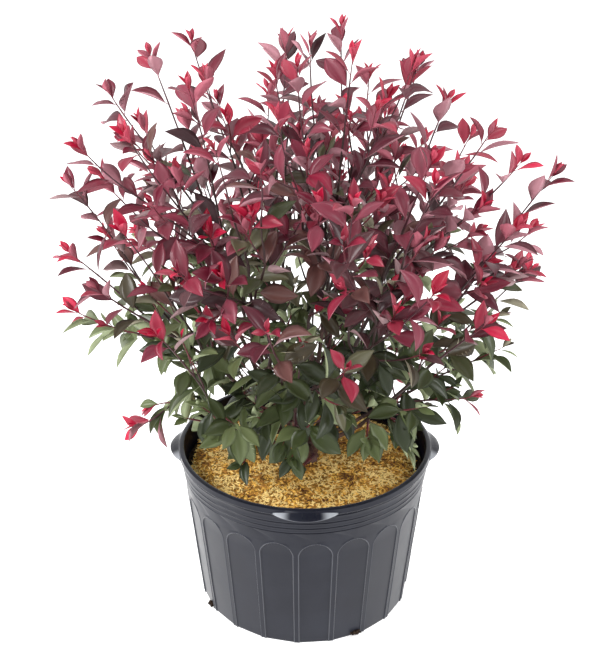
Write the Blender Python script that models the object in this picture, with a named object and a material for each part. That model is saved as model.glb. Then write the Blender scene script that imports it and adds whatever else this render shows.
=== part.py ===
"""Purpleleaf sand cherry in a nursery pot: a many-stemmed shrub made of separate solids.

The pot stands on the ground with the middle of its flat underside at the origin, +Z up.
Potting mix fills it, a layer of rice hulls covers the mix, and a short trunk rises from a
flat cut on the mix to a rounded knuckle. Boughs radiate from the knuckle, leave it low and
turn upward, and each ends at the stem of its own mass of twigs and leaves.

A place in the crown is given by an azimuth round the trunk, a polar angle from the vertical
and a reach, its distance from the middle of the knuckle. Each mass keeps to the space nearer
to its own bough's line than to any other bough's line.
"""
import math

import bmesh
import bpy
import numpy as np
from mathutils import Matrix, Vector
from mathutils.bvhtree import BVHTree

CLEARANCE = 0.0003          # between solids that rest on each other or meet
CREASE = math.radians(40)   # edges sharper than this stay sharp on the round pieces
ASIDE = (0.31, 0.87, 0.12)  # no bough or shoot runs this way, so it squares their frames

# Pot: blown black polyethylene, ribbed by arched panels, with four lugs on its rim
POT_HEIGHT = 0.2665
RIM_RADIUS = 0.200
BODY_TOP_RADIUS = 0.1955
BASE_RADIUS = 0.170
WALL = 0.0028
BASE_THICKNESS = 0.0025
CORNER = 0.0012
RIM_BAND = 0.011            # height of the rolled band
RIM_ROUNDING = 0.0025
RIM_INNER_RADIUS = 0.1915
FLUTES = 20
FRONT = math.radians(-90)
PANEL_TURN = math.radians(4.7)      # from the front to the nearest panel's middle
PANEL_HALF_ANGLE = math.radians(7.4)
PANEL_EDGE = 0.0016         # width of the slope round a panel
PANEL_DEPTH = 0.0006        # at a panel's edges; its face is flat
ARCH_TOP = 0.199
ARCH_TURNS = np.radians((34, 60, 80))       # where the rows cross an arch's half circle
PANEL_COLUMNS = 4
STEP_HEIGHTS = (0.2225, 0.2315, 0.2415)
STEP_RISE = 0.0010
STEP_OUT = 0.0006
LUGS = 4
LUG_HALF_ANGLE = math.radians(14.0)
LUG_FLAT_HALF_ANGLE = math.radians(8.0)
LUG_OUT = 0.0140
LUG_DROP = 0.0060
LUG_LIP_DROP = 0.0012
LUG_HOLLOW = 0.0045
DRAINS = 4
DRAIN_PANEL = 1.28          # panels from the front one to the first drain
DRAIN_RADIUS = 0.0065
DRAIN_HEIGHT = 0.0030
DRAIN_SIDES = 10
DRAIN_DEPTH = 0.024

# Filling
MIX_TOP = 0.2240
MIX_COLUMNS = 40
MULCH_TOP = 0.2345
MULCH_RADIUS = 0.182
MULCH_ROUGHNESS = 0.0022
MULCH_HOLE = 0.033
MULCH_COLUMNS = 24
MULCH_RINGS = (0.94, 0.78, 0.60, 0.42, 0.28)    # shares of the layer's radius
MULCH_EDGE = (-0.022, 0.012)                    # shares by which the edge wanders
MULCH_EDGE_HEIGHT = 0.003

# Trunk
TRUNK_FLARE_RADIUS = 0.0260
TRUNK_NECK_RADIUS = 0.0180
TRUNK_NECK_HEIGHT = 0.019
FLARE_RIDGES = 5
FLARE_LOBES = 0.10          # how far the ridges stand out, as a share of the radius
TRUNK_LEAN = 0.003
KNUCKLE_RADIUS = 0.025
TRUNK_COLUMNS = 20
KNUCKLE_ROWS = np.radians(np.arange(128, 0, -16))
KNUCKLE_HEIGHT = 0.040      # from the mix to the middle of the knuckle

# Crown
SEED = 41
BOUGHS = 24
OUTER_SHOOTS = 74
INNER_SHOOTS = 16
OUTER_TURN = 1.0            # where the spirals of outer and inner shoots begin
INNER_TURN = 2.5
STRAY = 0.04                # how far a shoot strays from an even spread, in radians
LOWEST_START = math.radians(84)     # polar angle at which the lowest bough leaves the knuckle
LOWEST_TIP = math.radians(84)
GREEN_FROM = math.radians(53)       # masses below this polar angle are green, not purple
REACH_ANGLES = np.radians((0, 12, 22, 38, 50, 62, 75, 90))
REACHES = (0.635, 0.650, 0.650, 0.565, 0.440, 0.295, 0.185, 0.150)
REACH_SPREAD = 0.045        # share by which a shoot falls short of or passes the reach
INNER_REACH = (0.50, 0.70)  # shares of the reach at which inner shoots end
BOUGH_SHARE = 0.34          # share of the reach that a bough covers
UPTURN_LENGTH = 0.085
WAVE = math.radians(2.2)
WAVE_LENGTH = 0.16
BOUGH_FOOT_RADIUS = 0.0042
BOUGH_TIP_RADIUS = 0.0029
BOUGH_SIDES = 5
BOUGH_STEPS = 4
TWIG_TIP_RADIUS = 0.0013
SIDE_TWIG_RADIUS = 0.0021
STEM_STEPS = 4
SIDE_STEPS = 3
FIRST_BRANCH = 0.10         # shares of a mass's stem between which side shoots leave it
BRANCH_RANGE = 0.34
SHORTEST_SHOOT = 0.06
SPRAYS = (                  # shoots that stand out: azimuth and polar angle in degrees, reach
    (184, 19, 0.684), (176, 26.5, 0.655), (183, 33, 0.614), (178, 39, 0.578), (186, 45.5, 0.512),
    (181, 56.5, 0.452), (187, 80, 0.302), (-4, 13.7, 0.655), (3, 20, 0.615), (-3, 27, 0.602),
    (2, 39.3, 0.600), (-6, 45, 0.480), (5, 50.5, 0.478), (-3, 60, 0.382), (-8, 69, 0.312),
)

# Leaves
LEAF_LENGTH = 0.075
LEAF_WIDTH = 0.036
LEAF_THICKNESS = 0.0017
LEAF_FOLD = 0.0025
LEAF_SPACING = 0.072
TIP_LEAVES = 3
TIP_SPACING = 0.010
TIP_ROOM = 0.022            # length of shoot that the leaves at its tip take up
TIP_LEAF_SIZE = 0.80
TIP_LEAF_REACH = 0.048      # from a shoot's tip to the tips of its last leaves
LEAF_SIZES = (0.88, 1.08)
TIP_LEAN = (math.radians(20), math.radians(36))
LOW_LEAN = (math.radians(46), math.radians(64))
FACE_UP = 0.35              # how far a leaf's upper side turns from its shoot to the sky
STEM_BARE = 0.16            # shares of a stem and of a side shoot below their first leaf
SIDE_BARE = 0.24
LEAF_TRIES = 12
TRY_TURN = math.radians(40)
LEAF_TURN = math.radians(137.5)
LEAF_FREE_FROM = 0.13       # share of a leaf's length past which it touches no twig
LEAF_SINK = 0.0003          # from the twig's middle line to the leaf's root, on its far side
SPACE_MARGIN = 0.0012
LEAF_CLEARANCE = 0.012      # between the middles of two leaves
MULCH_CLEARANCE = 0.0040
SLOPE_START = 0.105         # from here out leaves keep above a slope up to the rim
SLOPE_END = 0.176
BOUGH_CLEARANCE = 0.0020

KNUCKLE = np.array((0.0, 0.0, MIX_TOP + CLEARANCE + KNUCKLE_HEIGHT))
GOLDEN_ANGLE = math.pi * (3 - math.sqrt(5))


def clear_scene():
    for item in list(bpy.data.objects):
        bpy.data.objects.remove(item, do_unlink=True)


def make_material(name, colour, roughness):
    material = bpy.data.materials.new(name)
    material.use_nodes = True
    shader = material.node_tree.nodes["Principled BSDF"]
    shader.inputs["Base Color"].default_value = (*colour, 1.0)
    shader.inputs["Roughness"].default_value = roughness
    shader.inputs["Metallic"].default_value = 0.0
    return material


def make_object(name, points, faces, material=None, smooth_angle=None, collection=None):
    mesh = bpy.data.meshes.new(name)
    mesh.from_pydata([tuple(point) for point in points], [], faces)
    if smooth_angle is not None:
        mesh.shade_smooth()
        mesh.set_sharp_from_angle(angle=smooth_angle)
    if material is not None:
        mesh.materials.append(material)
    item = bpy.data.objects.new(name, mesh)
    (collection or bpy.context.scene.collection).objects.link(item)
    return item


def ring_faces(rows, columns):
    """Quads between rows of points that each close on themselves, facing outward going up."""
    faces = []
    for row in range(rows - 1):
        for column in range(columns):
            after = (column + 1) % columns
            faces.append((row * columns + column, row * columns + after,
                          (row + 1) * columns + after, (row + 1) * columns + column))
    return faces


def turned_faces(rows, columns):
    """A turned body's faces: its rings of quads and a fan at each end, on its last two points."""
    faces = ring_faces(rows, columns)
    first_middle = rows * columns
    last_row = (rows - 1) * columns
    for column in range(columns):
        after = (column + 1) % columns
        faces.append((first_middle, after, column))
        faces.append((first_middle + 1, last_row + column, last_row + after))
    return faces


def smooth_ramp(value):
    value = np.clip(value, 0.0, 1.0)
    return value * value * (3 - 2 * value)


def body_radius(height):
    """Outer radius of the pot's tapered body, steps and panels aside."""
    share = height / (POT_HEIGHT - RIM_BAND)
    return BASE_RADIUS + (BODY_TOP_RADIUS - BASE_RADIUS) * share


def inner_radius(height):
    return body_radius(height) - WALL


def even_angles(count):
    return FRONT + np.arange(count) * 2 * math.pi / count


def panel_row(height, inset):
    """Angles and radii of one row of the body across the panels, PANEL_COLUMNS to a panel.

    An arch is a half circle on the body: a panel's half width falls from w to 0 as the height
    rises from the springing by w, and the top of its slope follows a circle wider by the slope.
    """
    radius = body_radius(height)
    half_width = PANEL_HALF_ANGLE * body_radius(ARCH_TOP)
    springing = ARCH_TOP - half_width
    rise = max(0.0, height - springing)
    inner_half = math.sqrt(max(0.0, half_width ** 2 - rise ** 2))
    outer_half = math.sqrt(max(0.0, (half_width + PANEL_EDGE) ** 2 - rise ** 2))
    below = radius / body_radius(ARCH_TOP) if rise == 0 else 1.0
    inner_half = max(inner_half * below, PANEL_EDGE)
    outer_half = max(outer_half * below, 2 * PANEL_EDGE)
    offsets = np.array((-outer_half, -inner_half, inner_half, outer_half)) / radius
    depths = np.array((0.0, 1.0, 1.0, 0.0)) * (PANEL_DEPTH if height < ARCH_TOP else 0.0)
    angles, radii = [], []
    for flute in range(FLUTES):
        middle = FRONT + PANEL_TURN + flute * 2 * math.pi / FLUTES
        angles.extend(middle + offsets)
        radii.extend(radius - depths - inset)
    return np.array(angles), np.array(radii), np.full(len(angles), height)


def lug_share(angles):
    """1 across a lug, 0 away from it, with a slope at each end."""
    pitch = 2 * math.pi / LUGS
    off = np.abs((angles - FRONT + pitch / 2) % pitch - pitch / 2)
    return smooth_ramp((LUG_HALF_ANGLE - off) / (LUG_HALF_ANGLE - LUG_FLAT_HALF_ANGLE))


def pot_rows():
    """Rows of the pot's surface from the underside's edge, up outside and down inside."""
    half_width = PANEL_HALF_ANGLE * body_radius(ARCH_TOP)
    springing = ARCH_TOP - half_width
    rows = [panel_row(0.0, CORNER), panel_row(CORNER, 0.0), panel_row(springing, 0.0)]
    for turn in ARCH_TURNS:
        rows.append(panel_row(springing + half_width * math.sin(turn), 0.0))
    rows.append(panel_row(ARCH_TOP + PANEL_EDGE, 0.0))

    columns = PANEL_COLUMNS * FLUTES
    angles = FRONT + (np.arange(columns) - 1) * 2 * math.pi / columns
    lug = lug_share(angles)
    flat = np.ones(columns)

    def add(radius, height):
        rows.append((angles, radius * flat, height * flat))

    step_radius = 0.0
    for height in STEP_HEIGHTS:
        add(body_radius(height) + step_radius, height)
        step_radius += STEP_OUT
        add(body_radius(height) + step_radius, height + STEP_RISE)
    band_bottom = POT_HEIGHT - RIM_BAND
    add(body_radius(band_bottom) + step_radius, band_bottom + LUG_HOLLOW * lug)
    add(RIM_RADIUS + LUG_OUT * lug, band_bottom - LUG_LIP_DROP * lug)
    add(RIM_RADIUS + LUG_OUT * lug, POT_HEIGHT - RIM_ROUNDING - LUG_DROP * lug)
    add(RIM_RADIUS - RIM_ROUNDING + 2 * RIM_ROUNDING * lug, POT_HEIGHT)
    add(RIM_INNER_RADIUS, POT_HEIGHT)
    add(inner_radius(POT_HEIGHT - RIM_BAND), POT_HEIGHT - RIM_BAND)
    add(inner_radius(BASE_THICKNESS), BASE_THICKNESS)
    return rows


def make_pot(material):
    rows = pot_rows()
    points = [(radius * math.cos(angle), radius * math.sin(angle), height)
              for row in rows for angle, radius, height in zip(*row)]
    points += [(0.0, 0.0, 0.0), (0.0, 0.0, BASE_THICKNESS)]
    pot = make_object("pot", points, turned_faces(len(rows), PANEL_COLUMNS * FLUTES),
                      material, CREASE)

    cutter_mesh = bpy.data.meshes.new("drain_cutter")
    shape = bmesh.new()
    for drain in range(DRAINS):
        turn = (FRONT + PANEL_TURN + DRAIN_PANEL * 2 * math.pi / FLUTES
                + drain * 2 * math.pi / DRAINS)
        place = (Matrix.Rotation(turn, 4, "Z") @ Matrix.Translation((BASE_RADIUS, 0, DRAIN_HEIGHT))
                 @ Matrix.Rotation(math.pi / 2, 4, "Y"))
        bmesh.ops.create_cone(shape, cap_ends=True, segments=DRAIN_SIDES, radius1=DRAIN_RADIUS,
                              radius2=DRAIN_RADIUS, depth=DRAIN_DEPTH, matrix=place)
    shape.to_mesh(cutter_mesh)
    shape.free()
    cutter = bpy.data.objects.new("drain_cutter", cutter_mesh)
    bpy.context.scene.collection.objects.link(cutter)
    cutter.hide_render = True
    cutter.display_type = "WIRE"
    drains = pot.modifiers.new("Drains", "BOOLEAN")
    drains.operation = "DIFFERENCE"
    drains.object = cutter
    return pot


def make_potting_mix(material):
    """The filling: a frustum that clears the pot's wall and floor."""
    angles = even_angles(MIX_COLUMNS)
    bottom = BASE_THICKNESS + CLEARANCE
    points = [((inner_radius(height) - CLEARANCE) * math.cos(angle),
               (inner_radius(height) - CLEARANCE) * math.sin(angle), height)
              for height in (bottom, MIX_TOP) for angle in angles]
    points += [(0.0, 0.0, bottom), (0.0, 0.0, MIX_TOP)]
    return make_object("potting_mix", points, turned_faces(2, MIX_COLUMNS),
                       material, CREASE)


def make_mulch(material):
    """Loose hulls as one uneven ring-shaped layer on the mix, open round the trunk."""
    rng = np.random.default_rng(SEED + 1)
    columns = MULCH_COLUMNS
    angles = even_angles(columns)
    bottom = MIX_TOP + CLEARANCE
    edge = MULCH_RADIUS * (1 + rng.uniform(*MULCH_EDGE, columns))
    hole = np.full(columns, MULCH_HOLE)
    rows = [(hole, np.full(columns, bottom)), (edge, np.full(columns, bottom)),
            (edge * 0.99, np.full(columns, bottom + MULCH_EDGE_HEIGHT))]
    for share in MULCH_RINGS:
        heights = MULCH_TOP + rng.uniform(-MULCH_ROUGHNESS, MULCH_ROUGHNESS, columns)
        rows.append((edge * share, heights))
    rows.append((hole, np.full(columns, MULCH_TOP)))
    rows.append(rows[0])
    points = [(radius * math.cos(angle), radius * math.sin(angle), height)
              for radii, heights in rows[:-1]
              for angle, radius, height in zip(angles, radii, heights)]
    faces = ring_faces(len(rows), columns)
    count = (len(rows) - 1) * columns
    faces = [tuple(index % count for index in face) for face in faces]
    return make_object("rice_hull_mulch", points, faces, material, CREASE)


def make_trunk(material):
    """Short trunk: a lobed root flare on a flat cut, a neck, and a round knuckle at the fork."""
    columns = TRUNK_COLUMNS
    angles = np.arange(columns) * 2 * math.pi / columns
    foot = MIX_TOP + CLEARANCE
    rows = []
    for share in (0.0, 0.3, 0.6, 1.0):
        spread = (1 - share) ** 2
        radius = TRUNK_NECK_RADIUS + (TRUNK_FLARE_RADIUS - TRUNK_NECK_RADIUS) * spread
        radii = radius * (1 + FLARE_LOBES * spread * np.cos(FLARE_RIDGES * angles))
        height = TRUNK_NECK_HEIGHT * share
        rows.append((radii, foot + height, TRUNK_LEAN * (1 - height / KNUCKLE_HEIGHT)))
    for polar in KNUCKLE_ROWS:
        rows.append((np.full(columns, KNUCKLE_RADIUS * math.sin(polar)),
                     KNUCKLE[2] + KNUCKLE_RADIUS * math.cos(polar), 0.0))
    points = [(radius * math.cos(angle) + lean, radius * math.sin(angle), height)
              for radii, height, lean in rows for angle, radius in zip(angles, radii)]
    points += [(TRUNK_LEAN, 0.0, foot), (0.0, 0.0, KNUCKLE[2] + KNUCKLE_RADIUS)]
    return make_object("trunk", points, turned_faces(len(rows), columns), material, CREASE)


def direction(azimuth, polar):
    return np.stack((np.sin(polar) * np.cos(azimuth), np.sin(polar) * np.sin(azimuth),
                     np.cos(polar)), axis=-1)


def unit(vectors):
    return vectors / np.linalg.norm(vectors, axis=-1, keepdims=True)


def crown_reach(polar):
    return np.interp(polar, REACH_ANGLES, REACHES)


def even_polar_angles(count, lowest):
    """Polar angles that share the crown's surface evenly among count tips."""
    steps = np.linspace(0.0, lowest, 400)
    area = np.cumsum(crown_reach(steps) ** 2 * np.sin(steps))
    return np.interp((np.arange(count) + 0.5) / count, area / area[-1], steps)


class Crown:
    """The lines of the boughs and the places of the shoots' tips."""

    def __init__(self):
        rng = np.random.default_rng(SEED)
        share = (np.arange(BOUGHS) + 0.5) / BOUGHS
        self.azimuth = np.arange(BOUGHS) * GOLDEN_ANGLE
        self.start_polar = np.arccos(1 - share * (1 - math.cos(LOWEST_START)))
        self.tip_polar = even_polar_angles(BOUGHS, LOWEST_TIP)
        self.phase = rng.uniform(0, 2 * math.pi, BOUGHS)
        self.place_shoots(rng)

    def lines(self, reach):
        """Every bough's direction at the given reaches, as an array of reaches by boughs by 3."""
        reach = np.atleast_1d(reach)[:, None]
        upturn = np.exp((KNUCKLE_RADIUS - reach) / UPTURN_LENGTH)
        polar = self.tip_polar + (self.start_polar - self.tip_polar) * upturn
        swing = WAVE * (1 - upturn) * np.sin(self.phase + 2 * math.pi * reach / WAVE_LENGTH)
        azimuth = self.azimuth + swing / np.maximum(np.sin(polar), 0.35)
        return direction(azimuth, polar)

    def place_shoots(self, rng):
        polar = even_polar_angles(OUTER_SHOOTS, LOWEST_TIP)
        azimuth = np.arange(OUTER_SHOOTS) * GOLDEN_ANGLE + OUTER_TURN
        azimuth = azimuth + rng.normal(0, STRAY, OUTER_SHOOTS) / np.maximum(np.sin(polar), 0.3)
        polar = polar + rng.normal(0, STRAY, OUTER_SHOOTS)
        reach = crown_reach(polar) * (1 + rng.uniform(-REACH_SPREAD, REACH_SPREAD, OUTER_SHOOTS))
        towards = direction(azimuth, polar)
        free = np.ones(OUTER_SHOOTS, bool)
        for spray_azimuth, spray_polar, spray_reach in SPRAYS:
            aim = direction(math.radians(spray_azimuth), math.radians(spray_polar))
            nearest = int(np.argmax(np.where(free, towards @ aim, -2)))
            towards[nearest] = aim
            reach[nearest] = spray_reach
            free[nearest] = False
        share = (np.arange(INNER_SHOOTS) + 0.5) / INNER_SHOOTS
        inner_polar = np.arccos(1 - share * (1 - math.cos(LOWEST_TIP)))
        inner_azimuth = np.arange(INNER_SHOOTS) * GOLDEN_ANGLE + INNER_TURN
        inner_reach = crown_reach(inner_polar) * rng.uniform(*INNER_REACH, INNER_SHOOTS)
        self.shoot_direction = np.vstack((towards, direction(inner_azimuth, inner_polar)))
        self.shoot_reach = np.concatenate((reach, inner_reach))
        nearness = np.einsum("sbi,si->sb", self.lines(self.shoot_reach), self.shoot_direction)
        self.shoot_owner = nearness.argmax(axis=1)

    def bough_reach(self, bough):
        return BOUGH_SHARE * float(crown_reach(self.tip_polar[bough]))

    def bough_path(self, bough, steps):
        reach = np.linspace(KNUCKLE_RADIUS + CLEARANCE, self.bough_reach(bough), steps + 1)
        return KNUCKLE + self.lines(reach)[:, bough] * reach[:, None]

    def keeps_to_space(self, bough, points):
        """True where all points lie on the bough's own side of every neighbour, by a margin."""
        offsets = np.asarray(points) - KNUCKLE
        lines = self.lines(np.linalg.norm(offsets, axis=1))
        apart = lines[:, bough][:, None, :] - lines
        length = np.linalg.norm(apart, axis=2)
        length[:, bough] = 1.0
        depth = np.einsum("pbi,pi->pb", apart, offsets) / length
        depth[:, bough] = 1.0
        return bool(depth.min() > SPACE_MARGIN)


def tube(points, radii, sides, first_tangent=None):
    """Points and faces of a closed tube round a line, square to it at both ends."""
    along = np.gradient(points, axis=0)
    if first_tangent is not None:
        along[0] = first_tangent
    along = unit(along)
    side = unit(np.cross(along[0], ASIDE))
    rings = []
    for place, tangent, radius in zip(points, along, radii):
        side = unit(side - tangent * (side @ tangent))
        other = np.cross(tangent, side)
        turns = np.arange(sides) * 2 * math.pi / sides
        rings.append(place + radius * (np.outer(np.cos(turns), side)
                                       + np.outer(np.sin(turns), other)))
    faces = ring_faces(len(points), sides)
    faces.append(tuple(reversed(range(sides))))
    faces.append(tuple(range((len(points) - 1) * sides, len(points) * sides)))
    return np.concatenate(rings), faces


def bough_tube(crown, bough, extra_radius=0.0):
    path = crown.bough_path(bough, BOUGH_STEPS)
    radii = np.linspace(BOUGH_FOOT_RADIUS, BOUGH_TIP_RADIUS, len(path)) + extra_radius
    return tube(path, radii, BOUGH_SIDES, crown.lines(KNUCKLE_RADIUS)[0, bough])


def make_bough(crown, bough, material):
    points, faces = bough_tube(crown, bough)
    return make_object(f"bough_{bough + 1:02d}", points, faces, material, CREASE)


def shoot_path(crown, bough, start_reach, aim, tip_reach, steps):
    """A shoot leaves the bough's line and swings over to its own direction as it rises."""
    share = np.linspace(0, 1, steps + 1)
    reach = start_reach + (tip_reach - start_reach) * share
    swing = np.sin(share * math.pi / 2)[:, None]
    towards = unit((1 - swing) * crown.lines(reach)[:, bough] + swing * aim)
    return KNUCKLE + towards * reach[:, None]


def leaf_points(root, towards, upper, length):
    """A leaf's six points: root, tip, two edges raised by the fold, and the midrib's two sides."""
    across = np.cross(upper, towards)
    scale = length / LEAF_LENGTH
    widest = root + towards * length * 0.52
    midrib = root + towards * length * 0.34
    return np.array((
        root, root + towards * length,
        widest + across * LEAF_WIDTH / 2 * scale + upper * LEAF_FOLD * scale,
        widest - across * LEAF_WIDTH / 2 * scale + upper * LEAF_FOLD * scale,
        midrib + upper * LEAF_THICKNESS / 2, midrib - upper * LEAF_THICKNESS / 2,
    ))


LEAF_FACES = [(0, 4, 2), (4, 1, 2), (0, 3, 4), (4, 3, 1),
              (0, 2, 5), (5, 2, 1), (0, 5, 3), (5, 1, 3)]


def lowest_height(points):
    """Height that leaves keep above: the mulch, rising to clear the pot's rim."""
    out = np.hypot(points[:, 0], points[:, 1])
    share = np.clip((out - SLOPE_START) / (SLOPE_END - SLOPE_START), 0, 1)
    mulch = MULCH_TOP + MULCH_ROUGHNESS + MULCH_CLEARANCE
    return mulch + share * (POT_HEIGHT + MULCH_CLEARANCE - mulch)


def solid_tree(points, faces):
    return BVHTree.FromPolygons([Vector(point) for point in points], faces)


class Foliage:
    """One mass: its stem, side shoots and leaves, each kept to the bough's own space."""

    def __init__(self, crown, bough):
        self.crown = crown
        self.bough = bough
        self.rng = np.random.default_rng(SEED * 100 + bough)
        self.bough_tree = solid_tree(*bough_tube(crown, bough, BOUGH_CLEARANCE))
        self.twigs = []
        self.leaves = []
        self.grow_twigs()
        self.twig_trees = [solid_tree(*tube(path, radii, 3, tangent))
                           for path, radii, tangent in self.twigs]
        for number, (path, _, _) in enumerate(self.twigs):
            self.add_leaves(path, STEM_BARE if number == 0 else SIDE_BARE)

    def grow_twigs(self):
        crown, bough = self.crown, self.bough
        line = crown.bough_path(bough, BOUGH_STEPS)
        tangent = unit(line[-1] - line[-2])
        start = crown.bough_reach(bough)
        own = np.flatnonzero(crown.shoot_owner == bough)
        closeness = [crown.shoot_direction[shoot] @ crown.lines(crown.shoot_reach[shoot])[0, bough]
                     for shoot in own]
        leader = own[int(np.argmax(closeness))]
        stem_reach = max(crown.shoot_reach[leader] - TIP_LEAF_REACH, start + SHORTEST_SHOOT)
        stem = shoot_path(crown, bough, start, crown.shoot_direction[leader], stem_reach,
                          STEM_STEPS)
        stem[0] = line[-1] + tangent * CLEARANCE
        radii = np.linspace(BOUGH_TIP_RADIUS, TWIG_TIP_RADIUS, STEM_STEPS + 1)
        self.twigs.append((stem, radii, tangent))
        others = [shoot for shoot in own if shoot != leader]
        for place, shoot in enumerate(others):
            share = FIRST_BRANCH + BRANCH_RANGE * (place + 0.5) / len(others)
            tip_reach = max(crown.shoot_reach[shoot] - TIP_LEAF_REACH, start + SHORTEST_SHOOT)
            branch = start + share * (tip_reach - start)
            path = shoot_path(crown, bough, branch, crown.shoot_direction[shoot], tip_reach,
                              SIDE_STEPS)
            to_stem = self.point_on(stem, branch) - path[0]
            path = path + to_stem * np.linspace(1, 0, len(path))[:, None]
            radii = np.linspace(SIDE_TWIG_RADIUS, TWIG_TIP_RADIUS, SIDE_STEPS + 1)
            self.twigs.append((path, radii, None))

    @staticmethod
    def point_on(path, reach):
        reaches = np.linalg.norm(path - KNUCKLE, axis=1)
        return np.array([np.interp(reach, reaches, path[:, axis]) for axis in range(3)])

    def add_leaves(self, path, bare):
        """Leaves in a spiral: wide apart and spreading below, close and upright at the tip."""
        steps = np.linalg.norm(np.diff(path, axis=0), axis=1)
        distance = np.concatenate(([0.0], np.cumsum(steps)))
        length = distance[-1]
        turn = self.rng.uniform(0, 2 * math.pi)
        low_count = max(1, int(round((length * (1 - bare) - TIP_ROOM) / LEAF_SPACING)))
        places = list(bare * length + (np.arange(low_count) + 0.3) * LEAF_SPACING)
        places += [length - TIP_SPACING * step for step in range(TIP_LEAVES, 0, -1)]

        def at(place):
            return np.array([np.interp(place, distance, path[:, axis]) for axis in range(3)])

        for place in places:
            place = min(place, length - TIP_SPACING / 2)
            tangent = unit(at(place + TIP_SPACING / 2) - at(place - TIP_SPACING / 2))
            turn += LEAF_TURN
            self.try_leaf(at(place), tangent, turn, place > length - 2 * TIP_ROOM)

    def try_leaf(self, point, tangent, turn, near_tip):
        side = unit(np.cross(tangent, ASIDE))
        other = np.cross(tangent, side)
        lean = self.rng.uniform(*(TIP_LEAN if near_tip else LOW_LEAN))
        size = LEAF_LENGTH * self.rng.uniform(*LEAF_SIZES) * (TIP_LEAF_SIZE if near_tip else 1.0)
        for attempt in range(LEAF_TRIES):
            angle = turn + attempt * TRY_TURN
            outward = math.cos(angle) * side + math.sin(angle) * other
            towards = math.cos(lean) * tangent + math.sin(lean) * outward
            upper = tangent - (tangent @ towards) * towards + np.array((0, 0, FACE_UP))
            upper = unit(upper - (upper @ towards) * towards)
            points = leaf_points(point - towards * LEAF_SINK, towards, upper, size)
            if self.fits(points):
                self.leaves.append((points, solid_tree(points, LEAF_FACES)))
                return

    def fits(self, points):
        root, tip, left, right = points[:4]
        middle = (left + right) / 2
        outer = np.array((tip, left, right, middle, (left + tip) / 2, (right + tip) / 2))
        if not self.crown.keeps_to_space(self.bough, outer):
            return False
        if (outer[:, 2] < lowest_height(outer)).any():
            return False
        if solid_tree(points, LEAF_FACES).overlap(self.bough_tree):
            return False
        free = points.copy()
        free[0] = root + (tip - root) * LEAF_FREE_FROM
        tree = solid_tree(free, LEAF_FACES)
        if any(tree.overlap(twig) for twig in self.twig_trees):
            return False
        for leaf, leaf_tree in self.leaves:
            if np.linalg.norm((leaf[2] + leaf[3]) / 2 - middle) < LEAF_CLEARANCE:
                return False
            if tree.overlap(leaf_tree):
                return False
        return True


def keep_largest_body(mesh):
    """Drop loose scraps and fill sealed hollows: only the body with the most faces stays."""
    shape = bmesh.new()
    shape.from_mesh(mesh)
    unseen = set(shape.faces)
    bodies = []
    while unseen:
        body = {unseen.pop()}
        front = list(body)
        while front:
            for edge in front.pop().edges:
                for face in edge.link_faces:
                    if face in unseen:
                        unseen.remove(face)
                        body.add(face)
                        front.append(face)
        bodies.append(body)
    bodies.sort(key=len)
    for body in bodies[:-1]:
        bmesh.ops.delete(shape, geom=list(body), context="FACES")
    shape.to_mesh(mesh)
    shape.free()


def make_foliage(crown, bough, material):
    """Fuse the mass's twigs and leaves into one body."""
    mass = Foliage(crown, bough)
    group = bpy.data.collections.new("fuse")
    bpy.context.scene.collection.children.link(group)
    name = f"foliage_{bough + 1:02d}"
    for number, (path, radii, tangent) in enumerate(mass.twigs):
        points, faces = tube(path, radii, 3, tangent)
        if number == 0:
            stem = make_object(name, points, faces, material)
        else:
            make_object("twig", points, faces, collection=group)
    for points, _ in mass.leaves:
        make_object("leaf", points, LEAF_FACES, collection=group)

    fuse = stem.modifiers.new("Fuse", "BOOLEAN")
    fuse.operation = "UNION"
    fuse.operand_type = "COLLECTION"
    fuse.collection = group
    bpy.context.view_layer.update()
    graph = bpy.context.evaluated_depsgraph_get()
    fused = bpy.data.meshes.new_from_object(stem.evaluated_get(graph))
    stem.modifiers.clear()
    stem.data = fused
    keep_largest_body(fused)
    for item in list(group.objects):
        bpy.data.objects.remove(item, do_unlink=True)
    bpy.data.collections.remove(group)
    return stem


def main():
    clear_scene()
    make_pot(make_material("black_polyethylene", (0.025, 0.028, 0.034), 0.38))
    make_potting_mix(make_material("potting_mix", (0.030, 0.020, 0.014), 0.95))
    make_mulch(make_material("rice_hulls", (0.55, 0.36, 0.13), 0.85))
    bark = make_material("bark", (0.075, 0.035, 0.035), 0.75)
    make_trunk(bark)
    purple = make_material("purple_leaf", (0.115, 0.022, 0.036), 0.45)
    green = make_material("green_leaf", (0.075, 0.120, 0.045), 0.50)
    crown = Crown()
    for bough in range(BOUGHS):
        make_bough(crown, bough, bark)
        low = crown.tip_polar[bough] > GREEN_FROM
        make_foliage(crown, bough, green if low else purple)


main()
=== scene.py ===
"""Purpleleaf sand cherry in its nursery pot, put together from the pot up to the leaves.

Every length is in metres unless its name says mm. The pot stands on z = 0 with its middle
at the origin, and -Y is the front.
"""
import math

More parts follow.
